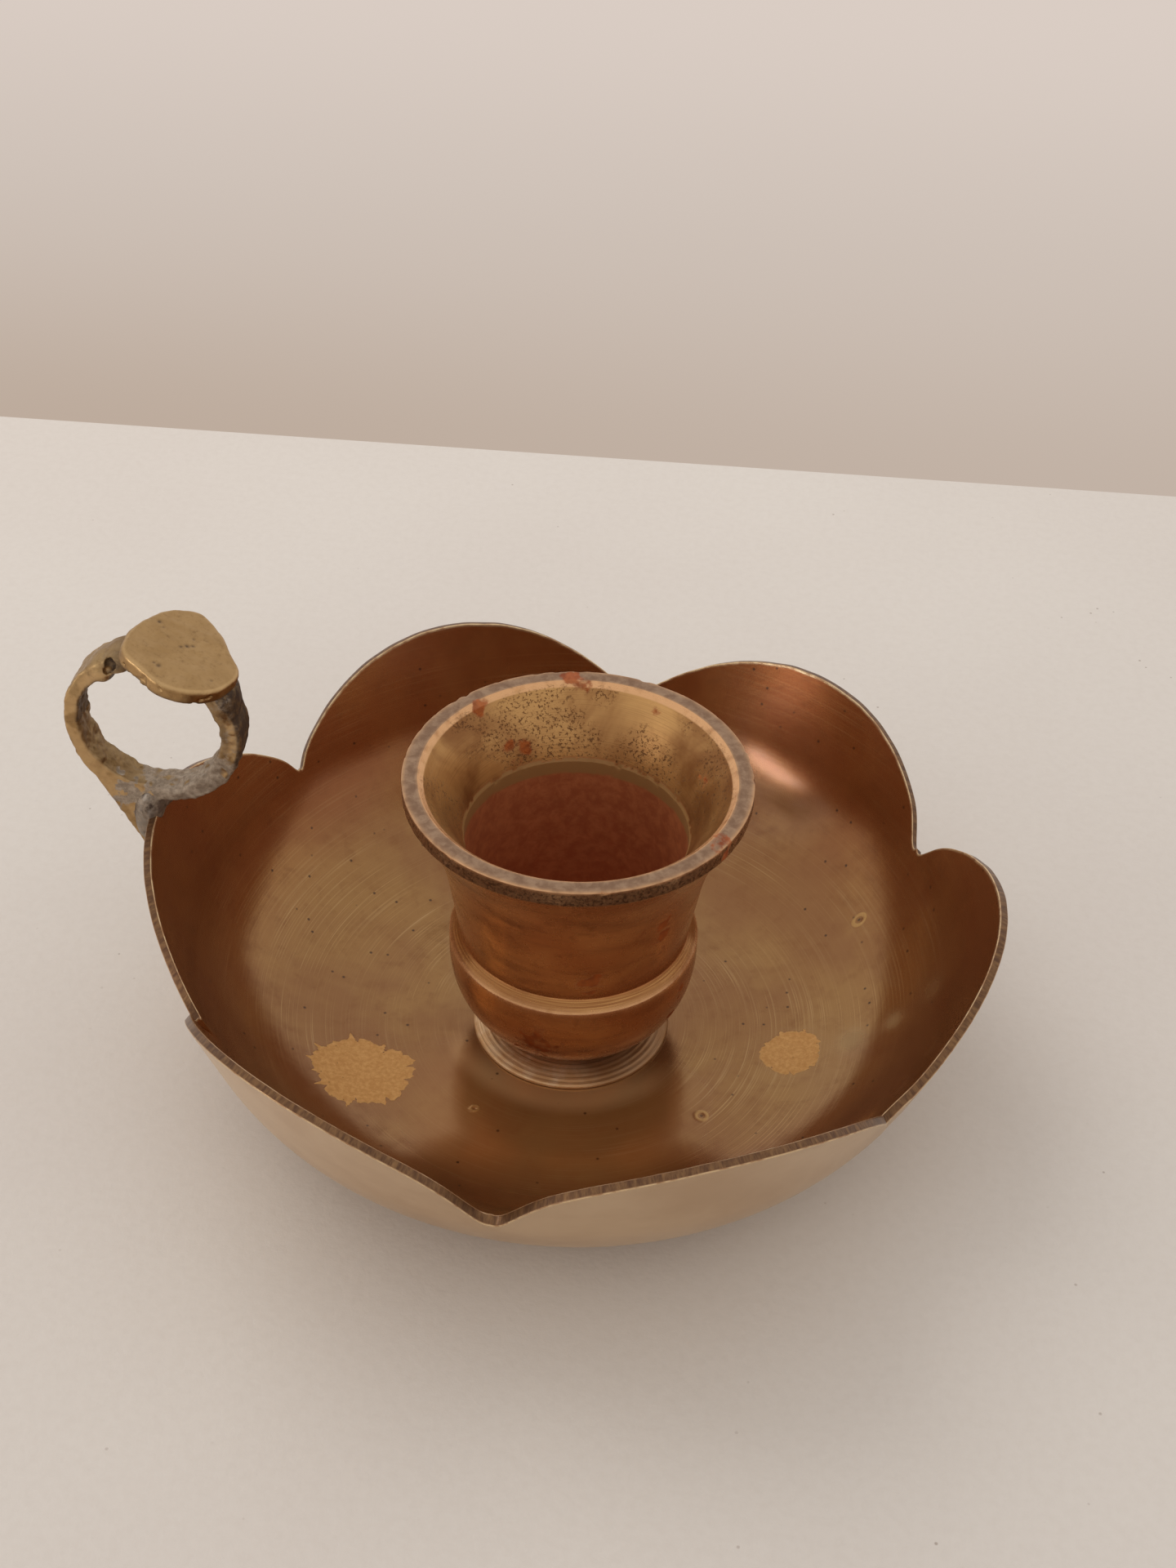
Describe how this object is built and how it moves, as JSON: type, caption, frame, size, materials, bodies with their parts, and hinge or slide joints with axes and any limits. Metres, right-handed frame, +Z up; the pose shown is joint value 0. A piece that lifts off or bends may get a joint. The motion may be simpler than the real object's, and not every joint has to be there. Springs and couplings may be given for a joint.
{
  "type": "chamberstick",
  "caption": "Small brass chamberstick: a flared candle cup on a petal-edged drip dish, with a finger ring and an oval thumb plate on one petal.",
  "frame": {"origin": "centre of the round rest face under the dish, on the candle's axis, at table height", "axes": "+Z up along the candle's axis, -X towards the finger ring, +Y completes the right-handed frame"},
  "size_m": [0.0941, 0.0834, 0.0469],
  "materials": {
    "dish_brass": "glossy, patinated brown, with concentric lathe marks and bare matte spots",
    "cup_brass": "glossy with a reddish copper patina, bright worn edges",
    "foot_brass": "turned, fine concentric rings",
    "screw_brass": "plain turned, dull",
    "ring_brass": "matte as-cast, pitted",
    "plate_brass": "matte as-cast, pitted",
    "braze": "rough, dark in the crevice",
    "solder": "dull grey, lumpy"
  },
  "bodies": {
    "root": {"dish": "dish_brass", "candle_cup": "cup_brass", "cup_foot": "foot_brass", "cup_screw": "screw_brass", "finger_ring": "ring_brass", "thumb_plate": "plate_brass", "plate_braze": "braze", "ring_solder": "solder"}
  },
  "joints": []
}
